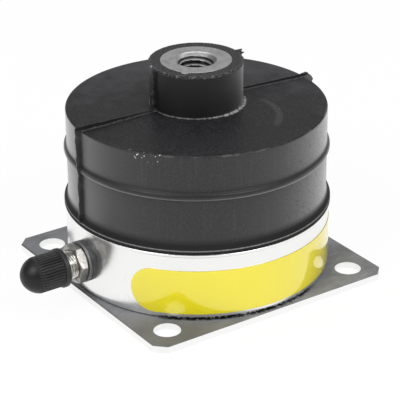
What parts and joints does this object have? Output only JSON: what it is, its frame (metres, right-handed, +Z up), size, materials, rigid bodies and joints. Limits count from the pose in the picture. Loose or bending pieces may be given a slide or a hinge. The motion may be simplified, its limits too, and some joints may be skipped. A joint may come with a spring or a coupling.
{
  "type": "pneumatic anti-vibration mount",
  "caption": "Air-filled anti-vibration mount: square bolted base, drawn steel housing with side inflation valve, hollow rubber drum and a threaded hub in its boss.",
  "frame": {"origin": "centre of the base plate's underside", "axes": "+Z up along the threaded hub; the valve points along -X; +Y completes the right-handed frame"},
  "size_m": [0.095, 0.0762, 0.0622],
  "materials": {
    "plated_plate": "satin zinc plate",
    "bright_zinc": "bright zinc plate",
    "plain_steel": "rolled",
    "moulded_rubber": "satin, as moulded, with parting flash",
    "turned_steel": "turned and phosphated",
    "seal_rubber": "matte",
    "label_film": "glossy yellow film",
    "nickel_brass": "nickel plated",
    "washer_steel": "satin",
    "core_brass": "bare brass",
    "core_sleeve_plastic": "natural white",
    "core_steel": "drawn wire",
    "cap_plastic": "moulded, ribbed"
  },
  "bodies": {
    "housing": {"base_plate": "plated_plate", "housing_cup": "bright_zinc", "damping_plate": "plain_steel", "bond_ring": "bright_zinc", "rubber_body": "moulded_rubber", "threaded_hub": "turned_steel", "bump_stop": "seal_rubber", "label": "label_film", "valve_stem": "nickel_brass", "inner_seal": "seal_rubber", "outer_grommet": "seal_rubber", "valve_washer": "washer_steel", "valve_nut": "nickel_brass", "core_body": "core_brass", "core_sleeve": "core_sleeve_plastic", "core_spring": "core_steel"},
    "core_pin": {"core_pin": "core_steel", "core_seal": "seal_rubber"},
    "cap_seal": {"cap_seal": "seal_rubber"},
    "valve_cap": {"valve_cap": "cap_plastic"}
  },
  "joints": [
    {"name": "core_press", "type": "slide", "parent": "housing", "child": "core_pin", "axis": [1, 0, 0], "range_m": [0, 0.001], "stiffness_N_per_m": 1200, "springref_m": -0.0012, "deforming": ["core_spring"]},
    {"name": "cap_travel", "type": "slide", "parent": "housing", "child": "cap_seal", "axis": [-1, 0, 0], "range_m": [0, 0.00873]},
    {"name": "cap_turn", "type": "hinge", "parent": "cap_seal", "child": "valve_cap", "pos_m": [-0.044, 0, 0.0118], "axis": [-1, 0, 0], "range_deg": [0, 3960]}
  ],
  "couplings": [
    {"joint": "cap_turn", "follows": "cap_travel", "rad_per_m": 7915.8}
  ]
}
